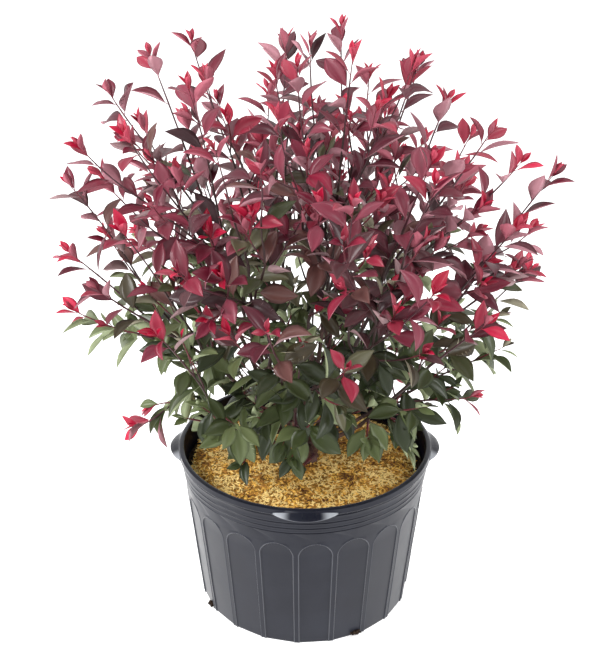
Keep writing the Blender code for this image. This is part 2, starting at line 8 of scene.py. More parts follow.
import bpy
import numpy as np
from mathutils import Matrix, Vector


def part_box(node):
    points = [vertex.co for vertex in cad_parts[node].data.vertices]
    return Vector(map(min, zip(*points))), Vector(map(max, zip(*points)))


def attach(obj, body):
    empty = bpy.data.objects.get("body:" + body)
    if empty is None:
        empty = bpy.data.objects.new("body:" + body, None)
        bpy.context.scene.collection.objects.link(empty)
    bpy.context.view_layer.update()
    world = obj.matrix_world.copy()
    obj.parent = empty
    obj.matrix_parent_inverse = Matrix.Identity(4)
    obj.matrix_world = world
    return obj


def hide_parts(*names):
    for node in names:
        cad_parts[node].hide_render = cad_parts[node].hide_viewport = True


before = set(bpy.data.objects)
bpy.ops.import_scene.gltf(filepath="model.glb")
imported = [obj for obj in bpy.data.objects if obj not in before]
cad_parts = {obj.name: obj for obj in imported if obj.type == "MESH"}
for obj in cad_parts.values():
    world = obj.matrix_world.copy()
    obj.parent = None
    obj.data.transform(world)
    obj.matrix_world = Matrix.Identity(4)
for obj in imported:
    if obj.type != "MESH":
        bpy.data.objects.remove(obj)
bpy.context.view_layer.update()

# ------------------------------------------------------------------------------
# Pot: a blown polyethylene nursery container. Arched panels stiffen its thin wall, three
# small steps run round under the rolled rim, and four thin lugs flare from the rim.

POT_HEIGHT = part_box("pot")[1][2]
RIM_RADIUS = 0.200
RIM_BAND = 0.011
BODY_TOP_RADIUS = 0.1955
BASE_RADIUS = 0.170
BASE_THICKNESS = 0.0025
WALL = 0.0028
FLUTES = 20
FRONT = math.radians(-90)
PANEL_TURN = math.radians(4.7)
PANEL_HALF_ANGLE = math.radians(7.4)
PANEL_EDGE = 0.0022
PANEL_DEPTH = 0.0011
PANEL_FLATNESS = 0.75
BEAD_SHARES = np.array((0.0, 0.3, 0.5, 0.7, 1.0))
BEAD_DEPTHS = (1.0, 0.0, -0.60, -0.55, 0.0)
BEAD_PAINTED_HIGHLIGHT = 0.11
LUG_END_PAINTED_HIGHLIGHT = 0.52
LUG_EDGE_PAINTED_HIGHLIGHT = 0.22
LUG_GLOSS = 0.40
ARCH_TOP = 0.199
STEP_HEIGHTS = (0.2225, 0.2315, 0.2415)
STEP_OUT = 0.0005
LUG_HALF_ANGLE = math.radians(14.0)
LUG_OUT = 0.0140
DRAINS = 4
DRAIN_TURN = FRONT + PANEL_TURN + 1.28 * math.tau / FLUTES
DRAIN_RADIUS = 0.0065
DRAIN_HEIGHT = 0.0030
DRAIN_CUT = 0.012
DRAIN_SIDES = 20
# Profiles in millimetres, from below upward: how far out and up a row lies, and for the
# groove and the rim also its share of the lug and how far it rises there.
STEP_PROFILE_MM = ((0, -2.0), (-0.9, -1.2), (-1.0, 0), (0.9, 0.8), (0.5, 2.6))
GROOVE_PROFILE_MM = (
    (0, -4.0, 0, 0), (-1.4, -2.6, 0, 0), (-1.8, -0.4, 0, 0), (0.6, 1.0, 0.40, 1.0))
RIM_PROFILE_MM = (
    (-1.2, 0.4, 0.93, -0.2), (0, 1.4, 1, -1.2), (0.2, 2.4, 1, -1.0), (0.1, 2.8, 0.92, -0.2),
    (0, 3.3, 0.50, 2.0), (-0.1, 3.8, 0.06, 4.4), (-0.2, 4.2, 0, 4.8), (-1.0, 9.4, 0, 0.4),
    (-2.4, 10.4, 0, 0), (-4.2, 10.9, 0, 0), (-6.2, 11.0, 0, 0), (-8.0, 10.2, 0, 0),
    (-9.0, 7.4, 0, 0),
)
INNER_HEIGHTS = (0.24, 0.12, BASE_THICKNESS)


def linear(hex_colour):
    """An sRGB hex colour as linear values: each channel by the sRGB transfer curve."""
    parts = [int(hex_colour[i:i + 2], 16) / 255 for i in (1, 3, 5)]
    return (*(c / 12.92 if c <= 0.04045 else ((c + 0.055) / 1.055) ** 2.4 for c in parts), 1.0)


def add_node(material, kind, settings=None, **links):
    """Adds a node, sets its properties and sockets, and links named or numbered inputs."""
    node = material.node_tree.nodes.new(kind)
    for name, value in (settings or {}).items():
        if isinstance(name, int) or name in node.inputs:
            node.inputs[name].default_value = value
        else:
            setattr(node, name, value)
    for name, source in links.items():
        place = int(name[1:]) if name[1:].isdigit() else name.replace("_", " ")
        material.node_tree.links.new(source, node.inputs[place])
    return node


def noise(material, size, detail, roughness=0.5, vector=None):
    """Noise whose features have a size in metres, laid out in the object's coordinates."""
    if vector is None:
        vector = add_node(material, "ShaderNodeTexCoord").outputs["Object"]
    settings = {"Scale": 1 / size, "Detail": detail, "Roughness": roughness}
    return add_node(material, "ShaderNodeTexNoise", settings, Vector=vector).outputs["Fac"]


def map_range(material, value, start, end, low, high):
    """Maps a value evenly from the range start to end onto the range low to high, clamped."""
    settings = {"From Min": start, "From Max": end, "To Min": low, "To Max": high}
    return add_node(material, "ShaderNodeMapRange", settings, Value=value).outputs["Result"]


def bump(material, shader, height, strength, distance):
    """Links a height to the shader's normal as a bump of a strength and a distance."""
    relief = add_node(material, "ShaderNodeBump", {"Strength": strength, "Distance": distance},
                      Height=height)
    material.node_tree.links.new(relief.outputs["Normal"], shader.inputs["Normal"])


def mottle(material, shader, value, *stops):
    """Links a value to the base colour through a ramp between two (position, colour) stops."""
    tone = add_node(material, "ShaderNodeValToRGB", Fac=value)
    for element, (position, colour) in zip(tone.color_ramp.elements, stops):
        element.position = position
        element.color = linear(colour)
    material.node_tree.links.new(tone.outputs["Color"], shader.inputs["Base Color"])


def new_material(name, colour, roughness, specular, **sockets):
    """A material and its Principled shader, with the named values and sockets set."""
    material = bpy.data.materials.new(name)
    material.use_nodes = True
    shader = material.node_tree.nodes["Principled BSDF"]
    shader.inputs["Base Color"].default_value = linear(colour)
    shader.inputs["Roughness"].default_value = roughness
    shader.inputs["Specular IOR Level"].default_value = specular
    for socket, value in sockets.items():
        shader.inputs[socket.replace("_", " ")].default_value = value
    return material, shader


def add_object(name, data):
    """An object with its data, linked to the scene."""
    item = bpy.data.objects.new(name, data)
    bpy.context.scene.collection.objects.link(item)
    return item


def new_piece(name, points, faces, materials, indices=None, smooth=True):
    """An object from arrays: points (n, 3), faces (m, 3 or 4), a material index per face."""
    mesh = bpy.data.meshes.new(name)
    points = np.asarray(points, dtype=np.float32).reshape(-1, 3)
    faces = np.asarray(faces, dtype=np.int32)
    sides = faces.shape[1]
    mesh.vertices.add(len(points))
    mesh.vertices.foreach_set("co", points.ravel())
    mesh.loops.add(faces.size)
    mesh.loops.foreach_set("vertex_index", faces.ravel())
    mesh.polygons.add(len(faces))
    mesh.polygons.foreach_set("loop_start", np.arange(0, faces.size, sides, dtype=np.int32))
    mesh.polygons.foreach_set("use_smooth", np.full(len(faces), smooth))
    if indices is not None:
        mesh.polygons.foreach_set("material_index", np.asarray(indices, dtype=np.int32))
    for material in materials:
        mesh.materials.append(material)
    mesh.update(calc_edges=True)
    mesh.validate()
    return add_object(name, mesh)


def grid_faces(rows, columns):
    """Quads of a grid whose rows run up and whose columns run anticlockwise seen from above."""
    row = np.arange(rows - 1)[:, None]
    column = np.arange(columns)
    after = (column + 1) % columns
    faces = np.stack((row * columns + column, row * columns + after,
                      (row + 1) * columns + after, (row + 1) * columns + column), axis=-1)
    return faces.reshape(-1, 4)


def round_points(angles, radii, heights):
    """Points from angles round the axis, radii from it and heights."""
    x, y = radii * np.cos(angles), radii * np.sin(angles)
    return np.stack((x, y, heights * np.ones_like(x)), axis=-1)


def smooth_ramp(value):
    """0 below 0, 1 above 1, and a smooth s-curve between."""
    value = np.clip(value, 0.0, 1.0)
    return value * value * (3 - 2 * value)


def waves(x, y, size, seed, octaves):
    """Uneven relief from -1 to 1: sums of crossed sines at seeded angles, each octave finer."""
    rng = np.random.default_rng(seed)
    total = np.zeros(np.broadcast(x, y).shape)
    weight = 0.0
    for octave in range(octaves):
        scale = math.tau * 2 ** octave / size
        share = 0.6 ** octave
        for _ in range(3):
            turn, shift = rng.uniform(0, math.tau, 2)
            along = x * math.cos(turn) + y * math.sin(turn)
            total += share * np.sin(along * scale * rng.uniform(0.7, 1.3) + shift)
        weight += 1.6 * share
    return np.clip(total / weight, -1, 1)


def body_radius(height):
    """Outer radius of the pot's taper: a straight line from the base up to under the rim."""
    share = height / (POT_HEIGHT - RIM_BAND)
    return BASE_RADIUS + (BODY_TOP_RADIUS - BASE_RADIUS) * share


def panel_rows(heights, inset):
    """Rows of the body across its panels, as angles, radii and heights by row and column.

    A panel's half width w holds up to the springing of its arch and then falls as the root of
    w squared less the rise squared. Lanes of columns follow that edge: across the panel, over
    the raised bead that borders it, and on to the middle of the rib between two panels. How
    deep a point lies is read from how far it is past the panel's edge, and a panel's face is
    sunk most of the way from the round body to the flat chord between its edges.
    """
    radius = body_radius(heights)[:, None]
    half = PANEL_HALF_ANGLE * body_radius(ARCH_TOP)
    rise = np.clip(heights - (ARCH_TOP - half), 0, None)[:, None]
    narrow = np.where(rise > 0, 1.0, radius / body_radius(ARCH_TOP))
    inner = np.sqrt(np.clip(half ** 2 - rise ** 2, 0, None)) * narrow
    outer = np.sqrt(np.clip((half + PANEL_EDGE) ** 2 - rise ** 2, 0, None)) * narrow
    inner = np.maximum(inner, PANEL_EDGE / 2)
    outer = np.maximum(outer, PANEL_EDGE)
    rib = math.pi / FLUTES * radius
    lanes = [0 * inner, inner * 0.7, *(inner + (outer - inner) * share for share in BEAD_SHARES),
             outer + (rib - outer) / 2]
    offsets = np.concatenate([-rib] + [-lane for lane in lanes[:0:-1]] + lanes, axis=1)
    past = (np.hypot(offsets / narrow, rise) - half) / PANEL_EDGE
    depths = np.interp(past, BEAD_SHARES, BEAD_DEPTHS)
    middle = FRONT + PANEL_TURN + np.arange(FLUTES)[:, None] * math.tau / FLUTES
    angles = (middle[None] + (offsets / radius)[:, None, :]).reshape(len(heights), -1)
    chord = inner / radius
    flat = radius * (1 - np.cos(chord) / np.cos(np.minimum(np.abs(offsets) / radius, chord)))
    radii = np.tile(radius - inset[:, None] - PANEL_DEPTH * depths - PANEL_FLATNESS * flat,
                    (1, FLUTES))
    # Beads get a painted highlight: their share mixes the colour towards pale grey.
    painted_highlight_and_gloss = np.tile(np.interp(past, (0.2, 0.5, 0.7, 1.0), (0, BEAD_PAINTED_HIGHLIGHT, BEAD_PAINTED_HIGHLIGHT, 0)),
                     (1, FLUTES))
    return angles, radii, np.broadcast_to(heights[:, None], radii.shape), painted_highlight_and_gloss


def rim_rows(columns):
    """Rows from above the arches, over the steps and the rolled rim, to inside on the floor.

    Each row is a circle. Across a lug a row moves out by its own share of LUG_OUT times
    1 - t squared, where t runs from -1 to 1 across the lug, so that the lug's ends are sharp.
    The share of painted highlight paints step crests, the lug's ends and its lower edge paler, and
    goes below 0 where the rim's band and the lug's middle are glossy.
    """
    angles = FRONT + (np.arange(columns) - columns / FLUTES / 2) * math.tau / columns
    off = np.abs((angles - FRONT + math.pi / 4) % (math.pi / 2) - math.pi / 4)
    lug = np.clip(1 - (off / LUG_HALF_ANGLE) ** 2, 0, 1)
    rows, crests = [], []
    out = 0.0
    for height in STEP_HEIGHTS:
        wall = body_radius(height) + out
        rows += [(wall + aside / 1000, height + up / 1000, 0, 0) for aside, up in STEP_PROFILE_MM]
        crests.append(len(rows) - 2)
        out += STEP_OUT
    foot = POT_HEIGHT - RIM_BAND
    wall = body_radius(foot) + out
    band = len(rows) + len(GROOVE_PROFILE_MM)
    for radius, profile in ((wall, GROOVE_PROFILE_MM), (RIM_RADIUS, RIM_PROFILE_MM)):
        rows += [(radius + aside / 1000, foot + up / 1000, share, rise / 1000)
                 for aside, up, share, rise in profile]
    rows.append((wall - WALL - 0.0010, foot, 0, 0))
    rows += [(body_radius(height) - WALL, height, 0, 0) for height in INNER_HEIGHTS]
    values = np.array(rows)
    radii = values[:, 0:1] + LUG_OUT * values[:, 2:3] * lug
    heights = values[:, 1:2] + values[:, 3:4] * lug
    painted_highlight_and_gloss = np.zeros(radii.shape)
    # Step crests get a faint painted highlight; the rim's band gets gloss only.
    painted_highlight_and_gloss[crests] = BEAD_PAINTED_HIGHLIGHT / 3
    painted_highlight_and_gloss[band - 2:band + 12] = -1
    # The lug's pointed ends and its lower edge get a painted highlight; its middle gets gloss
    # only.
    across_lug = off / LUG_HALF_ANGLE
    end_painted_highlight = LUG_END_PAINTED_HIGHLIGHT * smooth_ramp((across_lug - 0.42) / 0.3) * smooth_ramp(
        (1.04 - across_lug) / 0.12)
    edge_painted_highlight = np.maximum(end_painted_highlight, LUG_EDGE_PAINTED_HIGHLIGHT * (lug > 0))
    middle_gloss = LUG_GLOSS * (1 - smooth_ramp((across_lug - 0.12) / 0.34))
    painted_highlight_and_gloss[band + 2] = np.where(lug > 0, edge_painted_highlight, -1)
    painted_highlight_and_gloss[band + 3:band + 6] = end_painted_highlight - np.where(lug > 0, middle_gloss, 1.0)
    return np.broadcast_to(angles, radii.shape), radii, heights, painted_highlight_and_gloss


half_arch = PANEL_HALF_ANGLE * body_radius(ARCH_TOP)
springing = ARCH_TOP - half_arch
arch_turns = np.radians(np.array((6, 14, 22, 30, 38, 46, 54, 61, 68, 74, 79, 83, 86.5)))
body_heights = np.concatenate((
    (0.0, 0.0004, 0.0012, 0.003), np.linspace(0.012, springing, 12),
    springing + half_arch * np.sin(arch_turns),
    ARCH_TOP + PANEL_EDGE * BEAD_SHARES, (ARCH_TOP + 0.007,)))
body_inset = np.zeros(len(body_heights))
body_inset[:2] = (0.0012, 0.0004)
body = panel_rows(body_heights, body_inset)
rim = rim_rows(body[0].shape[1])
angles, radii, heights, painted_highlight_and_gloss = (np.concatenate(pair) for pair in zip(body, rim))
radii = radii + 0.00016 * waves(angles * 0.18, heights, 0.055, 3, 2) * (heights > 0.004)
rows, columns = radii.shape
pot_points = np.vstack((round_points(angles, radii, heights).reshape(-1, 3),
                        (0, 0, 0), (0, 0, BASE_THICKNESS)))
ring = np.arange(columns)
after = (ring + 1) % columns
under = np.stack((np.full(columns, rows * columns), after, ring), axis=1)
last = (rows - 1) * columns
floor_fan = np.stack((np.full(columns, rows * columns + 1), last + ring, last + after), axis=1)

pot_mesh = bpy.data.meshes.new("nursery_pot")
pot_mesh.from_pydata(pot_points.tolist(), [], grid_faces(rows, columns).tolist()
                     + under.tolist() + floor_fan.tolist())
# A share per point: painted highlight above 0, gloss below 0.
highlight_and_gloss_layer = pot_mesh.attributes.new("painted_highlight_and_gloss", "FLOAT", "POINT")
highlight_and_gloss_layer.data.foreach_set("value", np.append(painted_highlight_and_gloss.ravel(), (0, 0)).astype(np.float32))
pot_mesh.shade_smooth()
pot_mesh.set_sharp_from_angle(angle=math.radians(42))
nursery_pot = add_object("nursery_pot", pot_mesh)

drain_mesh = bpy.data.meshes.new("drain_cutter")
turns = np.arange(DRAIN_SIDES) * math.tau / DRAIN_SIDES
drain_points, drain_faces = [], []
for drain in range(DRAINS):
    heading = DRAIN_TURN + drain * math.tau / DRAINS
    out = np.array((math.cos(heading), math.sin(heading), 0.0))
    side = np.array((-math.sin(heading), math.cos(heading), 0.0))
    circle = DRAIN_RADIUS * (np.outer(np.cos(turns), side) + np.outer(np.sin(turns), (0, 0, 1)))
    ends = [circle + out * reach + (0, 0, DRAIN_HEIGHT)
            for reach in (BASE_RADIUS - DRAIN_CUT, BASE_RADIUS + DRAIN_CUT)]
    first = len(drain_points) * DRAIN_SIDES
    second = first + DRAIN_SIDES
    drain_points += ends
    drain_faces += (grid_faces(2, DRAIN_SIDES) + first).tolist()
    drain_faces += [list(range(second - 1, first - 1, -1)),
                    list(range(second, second + DRAIN_SIDES))]
drain_mesh.from_pydata(np.concatenate(drain_points).tolist(), [], drain_faces)
drain_cutter = add_object("drain_cutter", drain_mesh)
drains = nursery_pot.modifiers.new("Drains", "BOOLEAN")
drains.operation = "DIFFERENCE"
drains.object = drain_cutter
bpy.context.view_layer.update()
cut = bpy.data.meshes.new_from_object(
    nursery_pot.evaluated_get(bpy.context.evaluated_depsgraph_get()))
nursery_pot.modifiers.clear()
nursery_pot.data = cut
bpy.data.objects.remove(drain_cutter, do_unlink=True)

# High-density polyethylene with carbon black, blow moulded: a soft sheen over a fine, even
# grain, faint clouding where water has dried, pale dust low on the wall, and painted
# highlights, paler grey on the beads, step crests and lug ends and edges where light catches them.
resin, shader = new_material("blown_black_polyethylene", "#15161A", 0.40, 0.19,
                             IOR=1.54, Sheen_Weight=0.20, Sheen_Roughness=0.42)
place = add_node(resin, "ShaderNodeTexCoord").outputs["Object"]
clouding = noise(resin, 0.060, 5.0, 0.6, place)
scuffs = noise(resin, 0.004, 3.0, vector=place)
height = add_node(resin, "ShaderNodeSeparateXYZ", Vector=place).outputs["Z"]
low = map_range(resin, height, 0.0, 0.07, 0.42, 0.0)
patches = map_range(resin, clouding, 0.42, 0.70, 0.0, 0.30)
dust = add_node(resin, "ShaderNodeMath", {"operation": "MULTIPLY"}, _0=low, _1=scuffs)
film = add_node(resin, "ShaderNodeMath", {"operation": "ADD"},
                _0=dust.outputs["Value"], _1=patches)
tint = add_node(resin, "ShaderNodeMix", {
    "data_type": "RGBA", 6: linear("#10121E"), 7: linear("#272A35")}, _0=film.outputs["Value"])
# Above 0 the share paints highlights, mixing the tint towards pale grey; below 0 it only lowers
# the roughness.
share = add_node(resin, "ShaderNodeAttribute", {"attribute_name": "painted_highlight_and_gloss"}).outputs["Fac"]
pale = add_node(resin, "ShaderNodeMix", {"data_type": "RGBA", 7: linear("#C2C6CE")},
                _0=map_range(resin, share, 0.0, 1.0, 0.0, 1.0), _6=tint.outputs[2])
resin.node_tree.links.new(pale.outputs[2], shader.inputs["Base Color"])
rough = add_node(resin, "ShaderNodeMix", {"data_type": "FLOAT", 3: 0.16},
                 _0=map_range(resin, share, 0.0, -1.0, 0.0, 1.0),
                 _2=map_range(resin, clouding, 0.3, 0.7, 0.28, 0.42))
resin.node_tree.links.new(rough.outputs[0], shader.inputs["Roughness"])
bump(resin, shader, noise(resin, 0.0012, 2.0, vector=place), 0.10, 0.0002)

# Inside, no dust settles; the resin is painted a darker blue-black there, as painted shade.
painted_shade_resin = new_material("inside_black_polyethylene_painted_shade", "#07091A", 0.45, 0.12, IOR=1.54)[0]
centres, normals = np.empty((2, len(cut.polygons), 3), np.float32)
cut.polygons.foreach_get("center", centres.ravel())
cut.polygons.foreach_get("normal", normals.ravel())
outward = (centres[:, :2] * normals[:, :2]).sum(axis=1) / np.maximum(
    np.hypot(centres[:, 0], centres[:, 1]), 1e-6)
cut.materials.clear()
cut.materials.append(resin)
cut.materials.append(painted_shade_resin)
cut.polygons.foreach_set("material_index", (outward < -0.6).astype(np.int32))
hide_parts("pot")
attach(nursery_pot, "root")

# ------------------------------------------------------------------------------
# Potting mix: dark composted bark and peat, firmed into the pot. Its crumbly top shows as a
# ring between the wall and the hulls, and its flank shows at the drains.

MIX_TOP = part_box("potting_mix")[1][2]
CLEARANCE = 0.0003
ROUND = 240
TOP_ROWS = 40
CRUMBS = 900
CRUMB_RING = (0.164, 0.189)
CRUMB_LENGTHS = (0.0025, 0.0065)
CRUMB_WIDTHS = (0.0016, 0.0034)
CRUMB_THICKNESSES = (0.0014, 0.0026)
DRAIN_CRUMBS = 200
DRAIN_COARSENESS = 1.6

round_angles = np.arange(ROUND) * math.tau / ROUND
flank_heights = np.array((BASE_THICKNESS + CLEARANCE, 0.004, 0.008, 0.016, 0.06, 0.12, 0.18,
                          MIX_TOP - 0.004, MIX_TOP - 0.001))
flank_radii = body_radius(flank_heights) - WALL - CLEARANCE
top_radii = (body_radius(MIX_TOP) - WALL - CLEARANCE) * np.linspace(0.99, 0.02, TOP_ROWS)
mix_radii = np.concatenate((flank_radii, top_radii))[:, None]
mix_heights = np.append(flank_heights, np.full(TOP_ROWS, MIX_TOP))[:, None]
mix_points = round_points(round_angles, mix_radii, mix_heights)
mix_top = mix_points[len(flank_heights):]
mix_top[..., 2] += 0.0012 * waves(mix_top[..., 0], mix_top[..., 1], 0.012, 11, 3) - 0.0006


def bits(places, lengths, widths, thicknesses, headings, tilts, rolls):
    """Many small eight-faced spindles at once, each turned by its roll, tilt and heading.

    A spindle has a point at each end and a ring of four round its middle, thicker above than
    below. Each turn takes a coordinate pair (a, b) to (a cos - b sin, a sin + b cos).
    """
    shape = np.array(
        ((-1, 0, 0), (1, 0, 0), (-0.1, 1, 0), (-0.1, -1, 0), (0, 0, 1), (0, 0, -0.6)))
    points = shape * np.stack((lengths, widths, thicknesses), axis=-1)[:, None] / 2
    for angles, first, second in ((rolls, 1, 2), (-tilts, 0, 2), (headings, 0, 1)):
        cosine, sine = np.cos(angles)[:, None], np.sin(angles)[:, None]
        a, b = points[..., first].copy(), points[..., second].copy()
        points[..., first] = cosine * a - sine * b
        points[..., second] = sine * a + cosine * b
    points += places[:, None]
    faces = np.array(((0, 3, 4), (3, 1, 4), (1, 2, 4), (2, 0, 4),
                      (3, 0, 5), (1, 3, 5), (2, 1, 5), (0, 2, 5)))
    faces = faces + np.arange(len(places))[:, None, None] * 6
    return points.reshape(-1, 3), faces.reshape(-1, 3)


rng = np.random.default_rng(12)
crumb_angles = rng.uniform(0, math.tau, CRUMBS)
crumb_reach = np.sqrt(rng.uniform(*np.square(CRUMB_RING), CRUMBS))
crumb_places = round_points(crumb_angles, crumb_reach, MIX_TOP + 0.0006)
drain_turns = (DRAIN_TURN + (np.arange(DRAIN_CRUMBS) % DRAINS) * math.tau / DRAINS
               + rng.normal(0, 0.020, DRAIN_CRUMBS))
drain_reach = BASE_RADIUS - 0.001 + rng.uniform(-0.002, 0.0045, DRAIN_CRUMBS)
drain_places = round_points(drain_turns, drain_reach, rng.uniform(0.0024, 0.0085, DRAIN_CRUMBS))
places = np.vstack((crumb_places, drain_places))
count = len(places)
coarse = np.repeat((1.0, DRAIN_COARSENESS), (CRUMBS, DRAIN_CRUMBS))
crumb_points, crumb_faces = bits(
    places, *(rng.uniform(*sizes, count) * coarse
              for sizes in (CRUMB_LENGTHS, CRUMB_WIDTHS, CRUMB_THICKNESSES)),
    rng.uniform(0, math.tau, count), rng.normal(0, 0.3, count), rng.uniform(0, math.pi, count))

# Composted pine bark and peat, moist: dull, almost black brown, with lighter fibres.
compost, shader = new_material("moist_bark_compost", "#2A211B", 0.92, 0.3)
fibres = noise(compost, 0.004, 6.0, 0.7)
mottle(compost, shader, fibres, (0.35, "#17110D"), (0.72, "#4A382A"))
bump(compost, shader, fibres, 0.6, 0.001)

compost_fill = new_piece("compost_fill", mix_points, grid_faces(len(mix_points), ROUND), [compost])
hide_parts("potting_mix")
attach(compost_fill, "root")
compost_crumbs = new_piece("compost_crumbs", crumb_points, crumb_faces, [compost], smooth=False)
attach(compost_crumbs, "root")

# ------------------------------------------------------------------------------
# Mulch: loose rice hulls strewn a centimetre deep over the mix to keep weeds down. A packed
# bed carries the loose top layer of single hulls, golden with darker weathered patches.

MULCH_TOP = 0.2345
MULCH_RADIUS = 0.182
HULLS = 9000
HULL_LENGTHS = (0.0065, 0.0095)
HULL_WIDTHS = (0.0022, 0.0032)
HULL_THICKNESSES = (0.0009, 0.0016)
HULL_LIMIT = 0.1885
BED_HOLE = 0.10


def bed_edge(angle):
    """Radius of the bed's wandering edge: a circle with a few seeded waves on it."""
    return MULCH_RADIUS * (0.960 + 0.045 * waves(np.cos(angle), np.sin(angle), 1.1, 21, 3))


def bed_height(x, y):
    """Height of the bed: level, with hollows a few centimetres wide, falling off at its edge."""
    share = np.hypot(x, y) / bed_edge(np.arctan2(y, x))
    fall = smooth_ramp((share - 0.90) / 0.11)
    return MULCH_TOP - 0.0012 + 0.0026 * waves(x, y, 0.075, 22, 4) - 0.0080 * fall


bed_share = np.concatenate((np.linspace(BED_HOLE, 0.90, 44), (0.93, 0.96, 0.98, 1.0)))[::-1, None]
bed_radii = bed_edge(round_angles) * bed_share
bed_x, bed_y = bed_radii * np.cos(round_angles), bed_radii * np.sin(round_angles)
bed_points = np.stack((bed_x, bed_y, bed_height(bed_x, bed_y) + 0.0010 * waves(
    bed_x, bed_y, 0.009, 23, 2)), axis=-1)
bed_foot = bed_points[[0, -1]] * (1, 1, 0) + (0, 0, MIX_TOP - 0.0004)
bed_points = np.concatenate((bed_foot[:1], bed_points, bed_foot[1:]))

rng = np.random.default_rng(24)
hull_angles = rng.uniform(0, math.tau, HULLS)
hull_share = np.sqrt(rng.uniform(BED_HOLE ** 2, 1.03 ** 2, HULLS))
hull_reach = np.minimum(hull_share * bed_edge(hull_angles), HULL_LIMIT)
hull_x, hull_y = hull_reach * np.cos(hull_angles), hull_reach * np.sin(hull_angles)
hull_places = np.stack((hull_x, hull_y, bed_height(hull_x, hull_y)
                        + rng.uniform(0.0002, 0.0020, HULLS)), axis=-1)
hull_points, hull_faces = bits(
    hull_places, *(rng.uniform(*sizes, HULLS)
                   for sizes in (HULL_LENGTHS, HULL_WIDTHS, HULL_THICKNESSES)),
    rng.uniform(0, math.tau, HULLS), rng.normal(0, 0.26, HULLS), rng.normal(0, 0.5, HULLS))
weathered = waves(hull_x, hull_y, 0.060, 25, 3) + rng.normal(0, 0.33, HULLS)
hull_tone = np.digitize(weathered, (-0.85, -0.50, 0.0))

# Dry rice hulls: thin silica-rich husks, straw to gold, matt with a slight waxy glint.
hull_materials = [new_material(*values, 0.62, 0.35)[0] for values in (
    ("weathered_hull", "#5A3417"), ("brown_hull", "#BC8236"),
    ("golden_hull", "#EDBA56"), ("straw_hull", "#F6D78C"))]
packed_hulls, shader = new_material("packed_hulls", "#9A713A", 0.85, 0.25)
flecks = noise(packed_hulls, 0.0045, 4.0, 0.65)
mottle(packed_hulls, shader, flecks, (0.34, "#4C3212"), (0.66, "#D09A48"))
bump(packed_hulls, shader, flecks, 0.7, 0.001)

hull_bed = new_piece("hull_bed", bed_points, grid_faces(len(bed_points), ROUND), [packed_hulls])
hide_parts("rice_hull_mulch")
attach(hull_bed, "root")
loose_hulls = new_piece("loose_hulls", hull_points, hull_faces, hull_materials,
                        np.repeat(hull_tone, 8), smooth=False)
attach(loose_hulls, "root")

# ------------------------------------------------------------------------------
# Trunk and boughs: a short trunk flares onto the mix and swells into a knuckle where it was
# cut back, and two dozen boughs spring from it, leave low and turn up. Bark covers them.

SEED = 41
BOUGHS = 24
OUTER_SHOOTS = 74
INNER_SHOOTS = 16
OUTER_TURN = 1.0
INNER_TURN = 2.5
STRAY = 0.04
LOWEST = math.radians(84)
REACH_ANGLES = np.radians((0, 12, 22, 38, 50, 62, 75, 90))
REACHES = (0.635, 0.650, 0.650, 0.565, 0.440, 0.295, 0.185, 0.150)
REACH_SPREAD = 0.045
INNER_REACH = (0.50, 0.70)
BOUGH_SHARE = 0.34
UPTURN_LENGTH = 0.085
WAVE = math.radians(2.2)
WAVE_LENGTH = 0.16
KNUCKLE_RADIUS = 0.025
KNUCKLE_HEIGHT = 0.040
TRUNK_FLARE_RADIUS = 0.026
TRUNK_NECK_RADIUS = 0.018
TRUNK_NECK_HEIGHT = 0.019
TRUNK_SIDES = 72
BOUGH_FOOT_RADIUS = 0.0042
BOUGH_TIP_RADIUS = 0.0029
BOUGH_ROOT = 0.009
BOUGH_STEPS = 44
BOUGH_SIDES = 14
KNOT_SPACING = 0.024
KNOT_WIDTH = 0.0016
LENTICEL_SPACING = 0.0062
SPRAYS = (
    (184, 19, 0.684), (176, 26.5, 0.655), (183, 33, 0.614), (178, 39, 0.578), (186, 45.5, 0.512),
    (181, 56.5, 0.452), (187, 80, 0.302), (-4, 13.7, 0.655), (3, 20, 0.615), (-3, 27, 0.602),
    (2, 39.3, 0.600), (-6, 45, 0.480), (5, 50.5, 0.478), (-3, 60, 0.382), (-8, 69, 0.312),
)
ASIDE = np.array((0.31, 0.87, 0.12))
KNUCKLE = np.array((0.0, 0.0, MIX_TOP + CLEARANCE + KNUCKLE_HEIGHT))
GOLDEN_ANGLE = math.pi * (3 - math.sqrt(5))


def direction(azimuth, polar):
    """Unit vectors from an azimuth round +Z and a polar angle from it."""
    return np.stack((np.sin(polar) * np.cos(azimuth), np.sin(polar) * np.sin(azimuth),
                     np.cos(polar)), axis=-1)


def unit(vectors):
    """Vectors divided by their lengths, where they have one."""
    return vectors / np.maximum(np.linalg.norm(vectors, axis=-1, keepdims=True), 1e-12)


def crown_reach(polar):
    """The crown's distance from the knuckle, read from a line through the named reaches."""
    return np.interp(polar, REACH_ANGLES, REACHES)


def even_polar_angles(count):
    """Polar angles that give each of count tips the same share of the crown's surface."""
    steps = np.linspace(0.0, LOWEST, 400)
    area = np.cumsum(crown_reach(steps) ** 2 * np.sin(steps))
    return np.interp((np.arange(count) + 0.5) / count, area / area[-1], steps)


def even_cap_angles(count):
    """Polar angles of count points that share a sphere evenly, down to the lowest angle."""
    return np.arccos(1 - (np.arange(count) + 0.5) / count * (1 - math.cos(LOWEST)))


rng = np.random.default_rng(SEED)
bough_azimuth = np.arange(BOUGHS) * GOLDEN_ANGLE
bough_start = even_cap_angles(BOUGHS)
bough_tip = even_polar_angles(BOUGHS)
bough_phase = rng.uniform(0, math.tau, BOUGHS)
bough_reach = BOUGH_SHARE * crown_reach(bough_tip)


